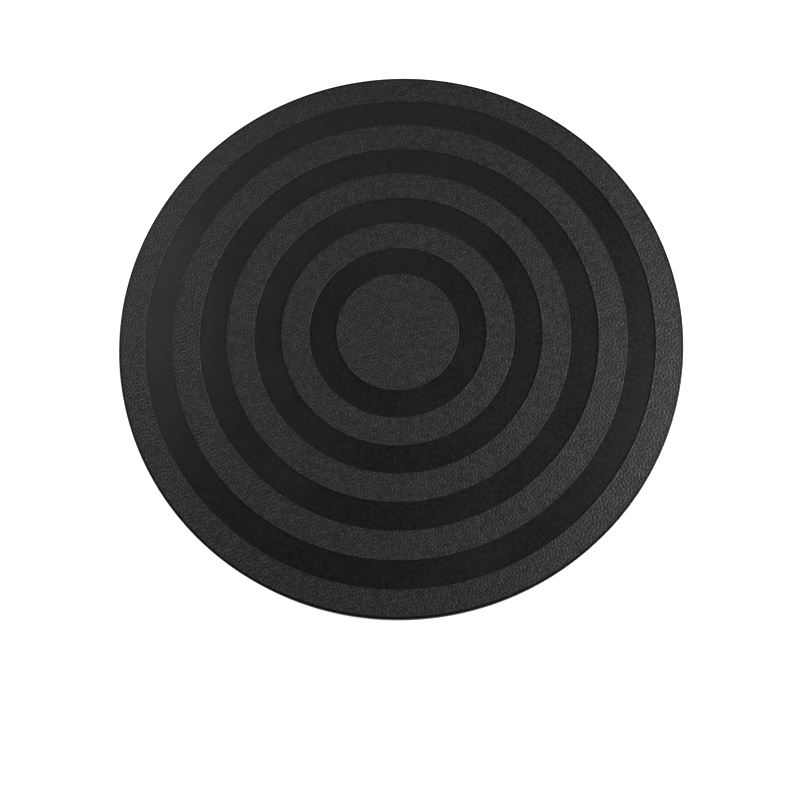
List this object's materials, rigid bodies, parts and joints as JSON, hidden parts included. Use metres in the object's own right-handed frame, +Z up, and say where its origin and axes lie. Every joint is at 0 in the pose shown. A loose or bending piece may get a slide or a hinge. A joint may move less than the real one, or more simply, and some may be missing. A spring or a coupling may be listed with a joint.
{
  "type": "banding wheel",
  "caption": "Flat round modelling turntable: a banded plastic plate turns on a ring of steel balls over a smaller ribbed base with rubber feet.",
  "frame": {"origin": "on the table under the spin axis, level with the undersides of the feet", "axes": "+Z up along the spin axis, +X through the first rubber foot"},
  "size_m": [0.2, 0.2, 0.022],
  "materials": {
    "plate_plastic": "black moulded plastic, fine grain and smooth satin bands",
    "base_plastic": "black moulded plastic, satin",
    "cage_plastic": "natural unfilled plastic, satin",
    "ball_steel": "polished bearing steel",
    "zinc_steel": "zinc-plated steel",
    "foot_rubber": "matt black rubber"
  },
  "bodies": {
    "base": {"base_disc": "base_plastic", "rubber_foot_1": "foot_rubber", "rubber_foot_2": "foot_rubber", "rubber_foot_3": "foot_rubber", "rubber_foot_4": "foot_rubber", "rubber_foot_5": "foot_rubber"},
    "plate": {"turntable_plate": "plate_plastic", "retaining_washer": "zinc_steel", "centre_screw": "zinc_steel"},
    "cage": {"ball_cage": "cage_plastic"},
    "ball_01": {"bearing_ball_01": "ball_steel"},
    "ball_02": {"bearing_ball_02": "ball_steel"},
    "ball_03": {"bearing_ball_03": "ball_steel"},
    "ball_04": {"bearing_ball_04": "ball_steel"},
    "ball_05": {"bearing_ball_05": "ball_steel"},
    "ball_06": {"bearing_ball_06": "ball_steel"},
    "ball_07": {"bearing_ball_07": "ball_steel"},
    "ball_08": {"bearing_ball_08": "ball_steel"},
    "ball_09": {"bearing_ball_09": "ball_steel"},
    "ball_10": {"bearing_ball_10": "ball_steel"},
    "ball_11": {"bearing_ball_11": "ball_steel"},
    "ball_12": {"bearing_ball_12": "ball_steel"},
    "ball_13": {"bearing_ball_13": "ball_steel"},
    "ball_14": {"bearing_ball_14": "ball_steel"},
    "ball_15": {"bearing_ball_15": "ball_steel"},
    "ball_16": {"bearing_ball_16": "ball_steel"}
  },
  "joints": [
    {"name": "plate_spin", "type": "hinge", "parent": "base", "child": "plate", "pos_m": [0, 0, 0.022], "axis": [0, 0, 1], "continuous": true},
    {"name": "cage_orbit", "type": "hinge", "parent": "base", "child": "cage", "pos_m": [0, 0, 0.0144], "axis": [0, 0, 1], "continuous": true},
    {"name": "ball_01_roll", "type": "hinge", "parent": "cage", "child": "ball_01", "pos_m": [0.048, 0, 0.0144], "axis": [1, 0, 0], "continuous": true},
    {"name": "ball_02_roll", "type": "hinge", "parent": "cage", "child": "ball_02", "pos_m": [0.04435, 0.01837, 0.0144], "axis": [0.9239, 0.3827, 0], "continuous": true},
    {"name": "ball_03_roll", "type": "hinge", "parent": "cage", "child": "ball_03", "pos_m": [0.03394, 0.03394, 0.0144], "axis": [0.7071, 0.7071, 0], "continuous": true},
    {"name": "ball_04_roll", "type": "hinge", "parent": "cage", "child": "ball_04", "pos_m": [0.01837, 0.04435, 0.0144], "axis": [0.3827, 0.9239, 0], "continuous": true},
    {"name": "ball_05_roll", "type": "hinge", "parent": "cage", "child": "ball_05", "pos_m": [0, 0.048, 0.0144], "axis": [0, 1, 0], "continuous": true},
    {"name": "ball_06_roll", "type": "hinge", "parent": "cage", "child": "ball_06", "pos_m": [-0.01837, 0.04435, 0.0144], "axis": [-0.3827, 0.9239, 0], "continuous": true},
    {"name": "ball_07_roll", "type": "hinge", "parent": "cage", "child": "ball_07", "pos_m": [-0.03394, 0.03394, 0.0144], "axis": [-0.7071, 0.7071, 0], "continuous": true},
    {"name": "ball_08_roll", "type": "hinge", "parent": "cage", "child": "ball_08", "pos_m": [-0.04435, 0.01837, 0.0144], "axis": [-0.9239, 0.3827, 0], "continuous": true},
    {"name": "ball_09_roll", "type": "hinge", "parent": "cage", "child": "ball_09", "pos_m": [-0.048, 0, 0.0144], "axis": [-1, 0, 0], "continuous": true},
    {"name": "ball_10_roll", "type": "hinge", "parent": "cage", "child": "ball_10", "pos_m": [-0.04435, -0.01837, 0.0144], "axis": [-0.9239, -0.3827, 0], "continuous": true},
    {"name": "ball_11_roll", "type": "hinge", "parent": "cage", "child": "ball_11", "pos_m": [-0.03394, -0.03394, 0.0144], "axis": [-0.7071, -0.7071, 0], "continuous": true},
    {"name": "ball_12_roll", "type": "hinge", "parent": "cage", "child": "ball_12", "pos_m": [-0.01837, -0.04435, 0.0144], "axis": [-0.3827, -0.9239, 0], "continuous": true},
    {"name": "ball_13_roll", "type": "hinge", "parent": "cage", "child": "ball_13", "pos_m": [0, -0.048, 0.0144], "axis": [0, -1, 0], "continuous": true},
    {"name": "ball_14_roll", "type": "hinge", "parent": "cage", "child": "ball_14", "pos_m": [0.01837, -0.04435, 0.0144], "axis": [0.3827, -0.9239, 0], "continuous": true},
    {"name": "ball_15_roll", "type": "hinge", "parent": "cage", "child": "ball_15", "pos_m": [0.03394, -0.03394, 0.0144], "axis": [0.7071, -0.7071, 0], "continuous": true},
    {"name": "ball_16_roll", "type": "hinge", "parent": "cage", "child": "ball_16", "pos_m": [0.04435, -0.01837, 0.0144], "axis": [0.9239, -0.3827, 0], "continuous": true}
  ],
  "couplings": [
    {"joint": "cage_orbit", "follows": "plate_spin", "ratio": 0.5},
    {"joint": "ball_01_roll", "follows": "plate_spin", "ratio": -8},
    {"joint": "ball_02_roll", "follows": "plate_spin", "ratio": -8},
    {"joint": "ball_03_roll", "follows": "plate_spin", "ratio": -8},
    {"joint": "ball_04_roll", "follows": "plate_spin", "ratio": -8},
    {"joint": "ball_05_roll", "follows": "plate_spin", "ratio": -8},
    {"joint": "ball_06_roll", "follows": "plate_spin", "ratio": -8},
    {"joint": "ball_07_roll", "follows": "plate_spin", "ratio": -8},
    {"joint": "ball_08_roll", "follows": "plate_spin", "ratio": -8},
    {"joint": "ball_09_roll", "follows": "plate_spin", "ratio": -8},
    {"joint": "ball_10_roll", "follows": "plate_spin", "ratio": -8},
    {"joint": "ball_11_roll", "follows": "plate_spin", "ratio": -8},
    {"joint": "ball_12_roll", "follows": "plate_spin", "ratio": -8},
    {"joint": "ball_13_roll", "follows": "plate_spin", "ratio": -8},
    {"joint": "ball_14_roll", "follows": "plate_spin", "ratio": -8},
    {"joint": "ball_15_roll", "follows": "plate_spin", "ratio": -8},
    {"joint": "ball_16_roll", "follows": "plate_spin", "ratio": -8}
  ]
}
